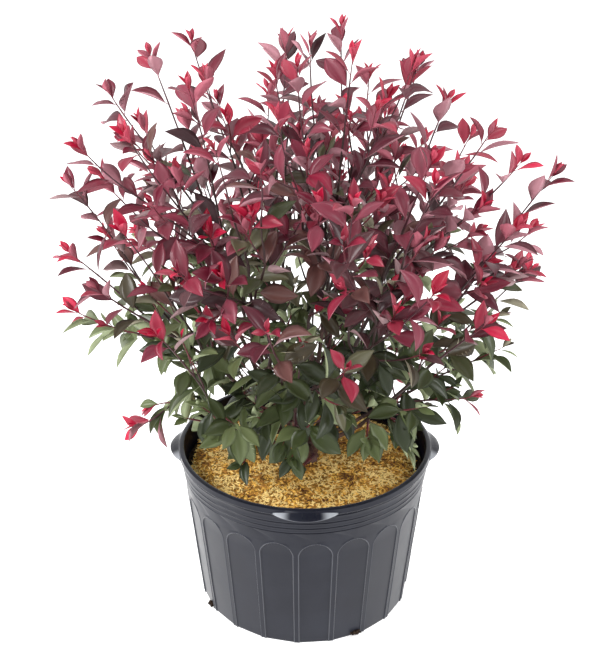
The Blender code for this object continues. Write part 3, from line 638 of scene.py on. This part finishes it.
def bough_line(bough, reach):
    """Direction from the knuckle of a bough's line at a reach.

    The polar angle falls from the bough's start to its tip by an exponential of the reach,
    and a sine of the reach swings the azimuth by a degree or two.
    """
    upturn = np.exp((KNUCKLE_RADIUS - reach) / UPTURN_LENGTH)
    polar = bough_tip[bough] + (bough_start[bough] - bough_tip[bough]) * upturn
    swing = WAVE * (1 - upturn) * np.sin(bough_phase[bough] + math.tau * reach / WAVE_LENGTH)
    return direction(bough_azimuth[bough] + swing / np.maximum(np.sin(polar), 0.35), polar)


def sweep(paths, radii, sides):
    """Tubes along many paths at once: rings of points square to each path, and their quads.

    paths is (tubes, steps, 3) and radii is (tubes, steps, sides or 1). The rings run from the
    foot to the tip, and the ends stay open.
    """
    tubes, steps, _ = paths.shape
    tangent = unit(np.gradient(paths, axis=1))
    side = unit(np.cross(tangent, ASIDE))
    other = np.cross(tangent, side)
    turns = np.arange(sides) * math.tau / sides
    circle = (np.cos(turns)[:, None] * side[:, :, None, :]
              + np.sin(turns)[:, None] * other[:, :, None, :])
    points = paths[:, :, None, :] + circle * np.broadcast_to(
        radii, (tubes, steps, sides))[..., None]
    faces = grid_faces(steps, sides) + (np.arange(tubes) * steps * sides)[:, None, None]
    return points.reshape(-1, 3), faces.reshape(-1, 4)


reach = np.linspace(KNUCKLE_RADIUS - BOUGH_ROOT, bough_reach + CLEARANCE, BOUGH_STEPS, axis=1)
bough_paths = KNUCKLE + bough_line(np.arange(BOUGHS)[:, None], reach) * reach[..., None]
share = np.linspace(0, 1, BOUGH_STEPS)[None, :, None]
turns = np.arange(BOUGH_SIDES) * math.tau / BOUGH_SIDES
along = reach[..., None]
knots = np.exp(-(along % KNOT_SPACING - KNOT_SPACING / 2) ** 2 / (2 * KNOT_WIDTH ** 2))
lenticels = np.sin(along * math.tau / LENTICEL_SPACING + 2.2 * np.sin(turns * 2 + along * 90))
bough_radii = BOUGH_FOOT_RADIUS + (BOUGH_TIP_RADIUS - BOUGH_FOOT_RADIUS) * share
foot_swell = 0.0016 * np.exp(-(along - KNUCKLE_RADIUS) / 0.008)
bough_radii = (bough_radii + foot_swell) * (1 + 0.055 * knots + 0.020 * lenticels)
bough_points, bough_faces = sweep(bough_paths, bough_radii, BOUGH_SIDES)

trunk_angles = np.arange(TRUNK_SIDES) * math.tau / TRUNK_SIDES
neck = np.linspace(0, 1, 18)
spread = (1 - neck[:, None]) ** 2
neck_radii = (TRUNK_NECK_RADIUS + (TRUNK_FLARE_RADIUS - TRUNK_NECK_RADIUS) * spread) * (
    1 + 0.10 * spread * np.cos(5 * trunk_angles))
knuckle_polar = np.radians(np.linspace(124, 4, 30))[:, None]
knuckle_radii = KNUCKLE_RADIUS * np.sin(knuckle_polar) * np.ones(TRUNK_SIDES)
trunk_radii = np.concatenate((neck_radii, knuckle_radii))
trunk_heights = np.concatenate((
    MIX_TOP + CLEARANCE + TRUNK_NECK_HEIGHT * neck[:, None],
    KNUCKLE[2] + KNUCKLE_RADIUS * np.cos(knuckle_polar))) * np.ones(TRUNK_SIDES)
ridges = waves(trunk_angles * 0.02, trunk_heights * 0.35, 0.010, 31, 4)
trunk_radii = trunk_radii * (1 + 0.045 * ridges)
trunk_points = round_points(trunk_angles, trunk_radii, trunk_heights)
trunk_points[..., 0] += 0.003 * np.clip(1 - (trunk_heights - MIX_TOP) / KNUCKLE_HEIGHT, 0, 1)
bark_points = np.vstack((trunk_points.reshape(-1, 3), bough_points))
bark_faces = np.vstack((grid_faces(len(trunk_points), TRUNK_SIDES),
                        bough_faces + trunk_radii.size))

# Bark of a young cherry: thin, smooth, grey-brown going purple, banded by fine raised
# lenticels, with a faint satin gloss where it is tight over the wood.
cherry_bark, shader = new_material("young_cherry_bark", "#4A3230", 0.62, 0.4)
place = add_node(cherry_bark, "ShaderNodeTexCoord").outputs["Object"]
stretch = add_node(cherry_bark, "ShaderNodeMapping", {"Scale": (1, 1, 3.2)}, Vector=place)
mottle(cherry_bark, shader, noise(cherry_bark, 0.010, 5.0, vector=place),
       (0.32, "#33201F"), (0.70, "#6B4F49"))
bump(cherry_bark, shader, noise(cherry_bark, 0.0035, 3.0, vector=stretch.outputs["Vector"]),
     0.5, 0.0005)

barked_limbs = new_piece("barked_limbs", bark_points, bark_faces, [cherry_bark])
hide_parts("trunk", *[f"bough_{n + 1:02d}" for n in range(BOUGHS)])
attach(barked_limbs, "root")

# ------------------------------------------------------------------------------
# Twigs: the year's shoots. Every bough carries on as a stem with side shoots, each of those
# bears short laterals, and leafy spurs break low on the boughs and round the knuckle.

TIP_LEAF_REACH = 0.033
SHORTEST_SHOOT = 0.06
FIRST_BRANCH = 0.10
BRANCH_RANGE = 0.34
LATERALS = 2
FIRST_LATERAL = 0.16
LATERAL_SPACING = 0.27
SHORTEST_LATERAL = 0.035
SPURS = 60
SPUR_BOUGHS = BOUGHS - 5
SPUR_LENGTHS = (0.05, 0.14)
PATH_STEPS = 25
TWIG_STEPS = 13
TWIG_SIDES = 6
SIDE_RADIUS = 0.0021
LATERAL_RADIUS = 0.0014
SPUR_RADIUS = 0.0015
TWIG_TIP_RADIUS = 0.0009
BUD_RADIUS = 0.0004
RIPENING_REACHES = (0.045, 0.13)
CONE_FOOT_RADIUS = 0.070
CONE_SLOPE = 0.45
RIM_ROOM = 0.010
LEAF_ROOM = 0.004


def shoot_aims(rng):
    """Directions and reaches of the shoots' tips: an even spiral, strays, sprays, inner shoots."""
    polar = even_polar_angles(OUTER_SHOOTS)
    azimuth = np.arange(OUTER_SHOOTS) * GOLDEN_ANGLE + OUTER_TURN
    azimuth = azimuth + rng.normal(0, STRAY, OUTER_SHOOTS) / np.maximum(np.sin(polar), 0.3)
    polar = polar + rng.normal(0, STRAY, OUTER_SHOOTS)
    reach = crown_reach(polar) * (1 + rng.uniform(-REACH_SPREAD, REACH_SPREAD, OUTER_SHOOTS))
    towards = direction(azimuth, polar)
    free = np.ones(OUTER_SHOOTS, bool)
    for spray_azimuth, spray_polar, spray_reach in SPRAYS:
        aim = direction(math.radians(spray_azimuth), math.radians(spray_polar))
        nearest = np.argmax(np.where(free, towards @ aim, -2))
        towards[nearest] = aim
        reach[nearest] = spray_reach
        free[nearest] = False
    inner_polar = even_cap_angles(INNER_SHOOTS)
    inner_azimuth = np.arange(INNER_SHOOTS) * GOLDEN_ANGLE + INNER_TURN
    inner_reach = crown_reach(inner_polar) * rng.uniform(*INNER_REACH, INNER_SHOOTS)
    return (np.vstack((towards, direction(inner_azimuth, inner_polar))),
            np.concatenate((reach, inner_reach)))


def shoot_paths(bough, start, aim, tip):
    """Paths that leave a bough's line and swing over to their own aim by a quarter sine."""
    share = np.linspace(0, 1, PATH_STEPS)
    reach = start[:, None] + (tip - start)[:, None] * share
    swing = np.sin(share * math.pi / 2)[:, None]
    towards = unit((1 - swing) * bough_line(bough[:, None], reach) + swing * aim[:, None])
    return KNUCKLE + towards * reach[..., None]


def grown_paths(foot, first, last, length):
    """Paths whose direction turns evenly from first to last: (t - t^2/2) first + t^2/2 last."""
    share = np.linspace(0, 1, PATH_STEPS)[:, None]
    bend = share ** 2 / 2
    return foot[:, None] + length[:, None, None] * (
        (share - bend) * first[:, None] + bend * last[:, None])


def at_share(paths, share):
    """Points at given shares of each path, by straight lines between its steps."""
    place = np.clip(share, 0, 1) * (paths.shape[1] - 1)
    step = np.minimum(place.astype(int), paths.shape[1] - 2)
    rest = (place - step)[..., None]
    row = np.arange(len(paths)).reshape((-1,) + (1,) * (share.ndim - 1))
    return paths[row, step] * (1 - rest) + paths[row, step + 1] * rest


def foot_and_heading(paths, share, step):
    """Points at shares of paths, and the directions from them to points a step further on."""
    foot = at_share(paths, share)
    return foot, unit(at_share(paths, share + step) - foot)


def path_lengths(paths):
    """Lengths of paths: the sum of the distances between their steps."""
    return np.linalg.norm(np.diff(paths, axis=1), axis=2).sum(axis=1)


def turned_out(tangent, turn, lean):
    """Tangents leant outward from themselves by a lean angle, at a turn round themselves."""
    side = unit(np.cross(tangent, ASIDE))
    other = np.cross(tangent, side)
    outward = np.cos(turn)[..., None] * side + np.sin(turn)[..., None] * other
    return np.cos(lean)[..., None] * tangent + np.sin(lean)[..., None] * outward


aims, tips = shoot_aims(rng)
lines = bough_line(np.arange(BOUGHS), tips[:, None])
nearness = np.einsum("sbi,si->sb", lines, aims)
owner = nearness.argmax(axis=1)
own_nearness = nearness.max(axis=1)
leaders = np.array([np.flatnonzero(owner == bough)[own_nearness[owner == bough].argmax()]
                    for bough in range(BOUGHS)])
stem_start = bough_reach + CLEARANCE
stem_tip = np.maximum(tips[leaders] - TIP_LEAF_REACH, stem_start + SHORTEST_SHOOT)
stems = shoot_paths(np.arange(BOUGHS), stem_start, aims[leaders], stem_tip)
sides = np.setdiff1d(np.arange(len(aims)), leaders)
side_owner = owner[sides]
rank = np.array([(side_owner[:n] == side_owner[n]).sum() for n in range(len(sides))])
brothers = np.array([(side_owner == bough).sum() for bough in side_owner])
start = bough_reach[side_owner]
side_tip = np.maximum(tips[sides] - TIP_LEAF_REACH, start + SHORTEST_SHOOT)
branch = start + (FIRST_BRANCH + BRANCH_RANGE * (rank + 0.5) / brothers) * (side_tip - start)
side_paths = shoot_paths(side_owner, branch, aims[sides], side_tip)
on_stem = at_share(stems[side_owner], (branch - start) / (stem_tip - stem_start)[side_owner])
fade = np.linspace(1, 0, PATH_STEPS)[:, None]
side_paths = side_paths + (on_stem - side_paths[:, 0])[:, None] * fade
main_paths = np.concatenate((stems, side_paths))
main_length = path_lengths(main_paths)

rng = np.random.default_rng(51)
parent = np.repeat(np.arange(len(main_paths)), LATERALS)
order = np.tile(np.arange(LATERALS), len(main_paths))
lateral_share = FIRST_LATERAL + LATERAL_SPACING * order + rng.uniform(0, 0.16, len(parent))
foot, ahead = foot_and_heading(main_paths[parent], lateral_share, 0.04)
lateral_first = turned_out(ahead, rng.uniform(0, math.tau, len(parent)),
                           rng.uniform(0.65, 0.95, len(parent)))
lateral_last = unit(ahead + 0.35 * lateral_first)
lateral_length = main_length[parent] * (1 - lateral_share) * rng.uniform(0.34, 0.66, len(parent))
lateral_paths = grown_paths(foot, lateral_first, lateral_last, lateral_length)
lateral_paths = lateral_paths[lateral_length > SHORTEST_LATERAL]

spur_bough = rng.integers(0, SPUR_BOUGHS, SPURS)
spur_share = rng.uniform(0.15, 0.95, SPURS)
foot, ahead = foot_and_heading(bough_paths[spur_bough], spur_share, 0.05)
spur_first = turned_out(ahead, rng.uniform(0, math.tau, SPURS), rng.uniform(0.7, 1.2, SPURS))
spur_first = unit(spur_first * (1, 1, 0.6) + (0, 0, 0.18))
spur_last = unit(spur_first + (0, 0, 0.7))
spur_paths = grown_paths(foot, spur_first, spur_last, rng.uniform(*SPUR_LENGTHS, SPURS))


def clears_rim(points):
    """True above a cone that rises from the mulch or, outside the rim, above its height."""
    out = np.hypot(points[..., 0], points[..., 1])
    cone = MULCH_TOP + 0.0022 + CONE_SLOPE * np.clip(out - CONE_FOOT_RADIUS, 0, None)
    floor = np.where(out < RIM_RADIUS + RIM_ROOM, cone, POT_HEIGHT)
    return points[..., 2] > floor + LEAF_ROOM


spur_paths = spur_paths[clears_rim(spur_paths[:, 4:]).all(axis=1)]
all_paths = np.concatenate((main_paths, lateral_paths, spur_paths))
foot_radii = np.repeat((BOUGH_TIP_RADIUS, SIDE_RADIUS, LATERAL_RADIUS, SPUR_RADIUS),
                       (BOUGHS, len(side_paths), len(lateral_paths), len(spur_paths)))
path_length = path_lengths(all_paths)
share = np.linspace(0, 1, TWIG_STEPS)
swollen = 1 + 0.10 * (-1.0) ** np.arange(TWIG_STEPS)
twig_radii = (foot_radii[:, None] * (1 - share) + TWIG_TIP_RADIUS * share) * swollen
twig_radii[:, -1] = BUD_RADIUS
twig_points, twig_faces = sweep(all_paths[:, ::2], twig_radii[..., None], TWIG_SIDES)
ripeness = np.digitize((1 - share[:-1]) * path_length[:, None], RIPENING_REACHES)
ripeness = np.repeat(ripeness.ravel(), TWIG_SIDES)

# First-year cherry wood: crimson and faintly glossy at the growing tip, ripening to dull
# purple brown, and to grey-purple where it thickens.
twig_materials = [new_material(*values, 0.45)[0] for values in (
    ("growing_twig", "#641F2B", 0.42), ("ripening_twig", "#431D26", 0.48),
    ("ripe_twig", "#35201F", 0.58))]
leafy_twigs = new_piece("leafy_twigs", twig_points, twig_faces, twig_materials, ripeness)
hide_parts(*[f"foliage_{n + 1:02d}" for n in range(BOUGHS)])
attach(leafy_twigs, "root")

# ------------------------------------------------------------------------------
# Leaves: alternate, pointed ovals with a fine-toothed edge, folded a little along the midrib.
# They stand close and upright round each tip, crimson, then spread and darken downward.

TIP_SPACINGS = np.array((0.001, 0.004, 0.009, 0.016, 0.026, 0.040))
LEAF_SPACING = 0.0225
LEAVES_A_SHOOT = 30
LEAF_TURN = math.radians(137.5)
LEAF_LENGTH = 0.058
LEAF_WIDTH = 0.0250
STALK_SHARE = 0.13
STALK_RADIUS = 0.0006
YOUTH_REACH = 0.022
OLD_LEAN, YOUNG_LEAN = 50, 12
LOW_HEIGHT = 0.58
FOOT_HEIGHT = 0.43
SHADE_STEPS = (0.34, 0.56, 0.80)
SUNLIT_SHADE = 0.50
MAROON_AGE, CRIMSON_AGE = 0.032, 0.0105
BLADE_STEPS = 10
BLADE_LANES = np.array((-1.0, -0.5, 0.0, 0.5, 1.0))


def leaf_blades(root, towards, upper, length, width, curl, fold, twist):
    """Leaves as two-sided blades: a grid of steps along by lanes across, and an under side.

    Along a leaf the midrib bends down at an even rate, so that its place is sin(cs)/c ahead and
    (1 - cos(cs))/c down. The half width is v^1.10 (1-v)^1.20 past the stalk, uneven at the edge.
    Lanes rise with the fold, and side veins ripple the blade between midrib and edge.
    """
    root, towards, upper, length, width, curl, fold, twist = (
        values[:, None] for values in (root, towards, upper, length, width, curl, fold, twist))
    s = np.linspace(0, 1, BLADE_STEPS)
    v = np.clip((s - STALK_SHARE) / (1 - STALK_SHARE), 0, 1)
    teeth = (-1.0) ** np.arange(BLADE_STEPS)
    outline = v ** 1.10 * (1 - v) ** 1.20
    outline = outline / outline.max() * (1 + 0.012 * teeth)
    half = (width / 2 * outline + STALK_RADIUS * (1 - s))[..., None]
    bend = (curl * s + 1e-6)[..., None]
    radius = (length / (curl + 1e-6))[..., None]
    spine = root + radius * (np.sin(bend) * towards - (1 - np.cos(bend)) * upper)
    normal = np.sin(bend) * towards + np.cos(bend) * upper
    across = np.cross(upper, towards)
    turn = (twist * s)[..., None]
    edge = np.cos(turn) * across + np.sin(turn) * normal
    rise = np.cos(turn) * normal - np.sin(turn) * across
    lift = np.abs(BLADE_LANES) * fold[..., None] * half
    vein = 0.012 * half * (np.abs(BLADE_LANES) == 0.5) * teeth[:, None]
    top = (spine[:, :, None] + (BLADE_LANES * half)[..., None] * edge[:, :, None]
           + (lift + vein)[..., None] * rise[:, :, None])
    belly = spine - (STALK_RADIUS * (1 - s ** 6))[:, None] * rise
    return np.concatenate((top.reshape(len(root), -1, 3), belly), axis=1)


def blade_faces(leaves):
    """Quads of the upper side, five lanes wide, and of the under side through its belly line."""
    lanes = len(BLADE_LANES)
    step = np.arange(BLADE_STEPS - 1) * lanes
    a = step[:, None] + np.arange(lanes - 1)
    upper = np.stack((a, a + lanes, a + lanes + 1, a + 1), axis=-1).reshape(-1, 4)
    belly = BLADE_STEPS * lanes + np.arange(BLADE_STEPS - 1)
    left = np.stack((step, belly, belly + 1, step + lanes), axis=-1)
    right = np.stack((belly, step + lanes - 1, step + 2 * lanes - 1, belly + 1), axis=-1)
    one = np.vstack((upper, left, right))
    faces = one + (np.arange(leaves) * BLADE_STEPS * (lanes + 1))[:, None, None]
    return faces.reshape(-1, 4), np.arange(len(one)) >= len(upper)


rng = np.random.default_rng(61)
each = (len(all_paths), 1)
shape = (len(all_paths), LEAVES_A_SHOOT)
later = TIP_SPACINGS[-1] + LEAF_SPACING * (np.arange(LEAVES_A_SHOOT - len(TIP_SPACINGS)) + 0.6)
from_tip = np.concatenate((TIP_SPACINGS, later)) * rng.uniform(0.92, 1.08, each)
from_tip = np.abs(from_tip + rng.normal(0, 0.002, shape) * (from_tip > 0.02))
share = 1 - from_tip / path_length[:, None]
grows = share > np.where(np.arange(len(all_paths)) < len(main_paths), 0.02, 0.10)[:, None]
root = at_share(all_paths, share)
beyond = np.clip(share + 0.03, 0, 1)
tangent = unit(at_share(all_paths, beyond) - at_share(all_paths, beyond - 0.06))
turn = np.arange(LEAVES_A_SHOOT) * LEAF_TURN + rng.uniform(0, math.tau, each)
turn = turn + rng.normal(0, 0.25, shape)
youth = np.exp(-from_tip / YOUTH_REACH)
lean = np.radians(OLD_LEAN + (YOUNG_LEAN - OLD_LEAN) * youth + rng.normal(0, 8, shape))
towards = turned_out(tangent, turn, lean)
offset = root - KNUCKLE
out = np.linalg.norm(offset, axis=-1)
polar = np.arccos(np.clip(offset[..., 2] / np.maximum(out, 1e-6), -1, 1))
outerness = out / crown_reach(polar)
height = root[..., 2]
low = smooth_ramp((LOW_HEIGHT - height) / 0.14)
hanging = low * smooth_ramp((1.35 - outerness) / 0.35)
droop = (0.02 + 0.68 * hanging) * (1 - youth) + rng.normal(0, 0.08, shape)
towards = unit(towards - droop[..., None] * (0, 0, 1))
upper = tangent + np.array((0, 0, 0.45))
upper = unit(upper - (upper * towards).sum(axis=-1, keepdims=True) * towards)
across = np.cross(upper, towards)
roll = rng.normal(0, 0.28, shape)[..., None]
upper = unit(np.cos(roll) * upper + np.sin(roll) * across)
size = np.interp(from_tip, (0.0, 0.005, 0.016, 0.040, 0.30), (0.32, 0.44, 0.70, 1.02, 1.0))
length = LEAF_LENGTH * size * rng.uniform(0.84, 1.14, shape)
width = LEAF_WIDTH * (length / LEAF_LENGTH) * rng.uniform(0.86, 1.10, shape) * np.interp(
    from_tip, (0.0, 0.03), (0.80, 1.0))
tip_point = root + towards * length[..., None]
at_foot = smooth_ramp((FOOT_HEIGHT - height) / 0.14)
fallen = (0.25 * low + 0.65 * at_foot) * np.clip(1.15 - outerness, 0, 1)
sparse = 0.50 * smooth_ramp((height - LOW_HEIGHT) / 0.12) * (from_tip > 0.05)
grows &= rng.random(shape) > np.maximum(fallen, sparse)
grows &= clears_rim(tip_point) & clears_rim(root + towards * length[..., None] / 2)

# Where a leaf sits decides its colour: crimson for the last few of a shoot, maroon below them,
# purple on the body of the crown, olive in its shade, and green low down and inside.
spray = rng.normal(0, 1, each)
inside = np.where(outerness < 1, 0.9, 1.8) * (1 - outerness)
# Low on the left, leaves shift towards green, and they are dealt the pale shade more often as a
# painted highlight of light from the left.
low_left_green_and_painted_light = smooth_ramp((-0.02 - root[..., 0]) / 0.10) * smooth_ramp((LOW_HEIGHT - height) / 0.10)
shade = inside + hanging * 0.95 + 0.13 * spray + rng.normal(0, 0.10, shape)
age = from_tip + 0.006 * spray + rng.normal(0, 0.004, shape)
tone = np.digitize(shade + 0.55 * low_left_green_and_painted_light, SHADE_STEPS) + 2
tone = np.where((age < MAROON_AGE) & (shade < SUNLIT_SHADE), 1, tone)
tone = np.where((age < CRIMSON_AGE) & (shade < SUNLIT_SHADE), 0, tone)

# Leaf blades: a soft waxy cuticle over thin flesh, so a broad sheen above and a matt,
# paler side below, where the purple thins out to pinkish grey.
LEAF_TONES = (
    ("crimson", ("#980C2E", "#A81236", "#B81C40"), "#B64458"),
    ("maroon", ("#64142A", "#7A1830", "#8E283C"), "#A45866"),
    ("purple", ("#4C1724", "#62202E", "#783040"), "#AC7882"),
    ("dusk", ("#382024", "#4B2A2E", "#5E3D39"), "#9C7E81"),
    ("olive", ("#383120", "#3A4026", "#52503A"), "#928C78"),
    ("green", ("#29311C", "#374023", "#5C6642"), "#98A27E"),
)
for index, (name, shades, under) in enumerate(LEAF_TONES):
    chosen = grows & (tone == index)
    count = chosen.sum()
    blades = leaf_blades(
        *(values[chosen] for values in (root, towards, upper, length, width)),
        rng.uniform(-0.05, 0.85, count) * (1 - 0.6 * youth[chosen]),
        rng.uniform(0.25, 0.80, count), rng.normal(0, 0.35, count))
    faces, is_under = blade_faces(count)
    # Low on the left the pale shade is dealt more often: a painted highlight.
    dealt = rng.normal(0, 1, each) + rng.normal(0, 0.7, shape) + 0.9 * low_left_green_and_painted_light
    indices = np.where(is_under, 3, np.digitize(dealt[chosen], (-0.5, 0.5))[:, None])
    cuticle = [new_material(f"{name}_leaf_{place}", shade, 0.36, 0.32)[0]
               for place, shade in zip(("deep", "plain", "pale"), shades)]
    cuticle.append(new_material(f"{name}_leaf_under", under, 0.62, 0.28)[0])
    leaves = new_piece(f"{name}_leaves", blades, faces, cuticle, indices.ravel())
    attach(leaves, "root")

# ------------------------------------------------------------------------------
# Floor, light and camera: a wide pale floor under broad soft light from the front, from
# both sides and from above, and a camera that looks down at the plant from the front.

FLOOR_CORNERS = ((-9, -6, 0), (9, -6, 0), (9, 12, 0), (-9, 12, 0))
# Each softbox: its name, place, the height it faces on the plant's axis, side length and watts.
SOFTBOXES = (
    ("key", (-1.2, -2.6, 2.6), 0.5, 1.6, 26), ("left", (-1.95, -0.55, 1.65), 0.35, 0.9, 46),
    ("right", (1.95, -0.55, 1.55), 0.30, 0.9, 24), ("top", (0.0, 0.6, 3.0), 0.5, 2.0, 20),
)
CAMERA_PLACE = (-0.0078, -1.6, 1.2212)
CAMERA_PITCH = 0.4431
CAMERA_LENS_MM = 63.87

floor_mesh = bpy.data.meshes.new("studio_floor")
floor_mesh.from_pydata(FLOOR_CORNERS, [], [(0, 1, 2, 3)])
studio_floor = add_object("studio_floor", floor_mesh)
# Matt white background paper, lit evenly so that it shows no edge.
paper = new_material("white_paper", "#F4F4F4", 0.9, 0.1, Emission_Color=linear("#FFFFFF"),
                     Emission_Strength=0.5)[0]
floor_mesh.materials.append(paper)

world = bpy.data.worlds.new("studio")
bpy.context.scene.world = world
world.use_nodes = True
background = world.node_tree.nodes["Background"]
background.inputs["Color"].default_value = linear("#FFFFFF")
bpy.context.scene.view_settings.view_transform = "Standard"

for name, place, aim_height, side, watts in SOFTBOXES:
    lamp = bpy.data.lights.new(name, "AREA")
    lamp.size = side
    lamp.energy = watts
    softbox = add_object(name, lamp)
    softbox.location = place
    heading = Vector((0, 0, aim_height)) - Vector(place)
    softbox.rotation_euler = heading.to_track_quat("-Z", "Y").to_euler()

camera = add_object("camera", bpy.data.cameras.new("camera"))
camera.data.lens = CAMERA_LENS_MM
camera.location = CAMERA_PLACE
camera.rotation_euler = (math.pi / 2 - CAMERA_PITCH, 0, 0)
bpy.context.scene.camera = camera
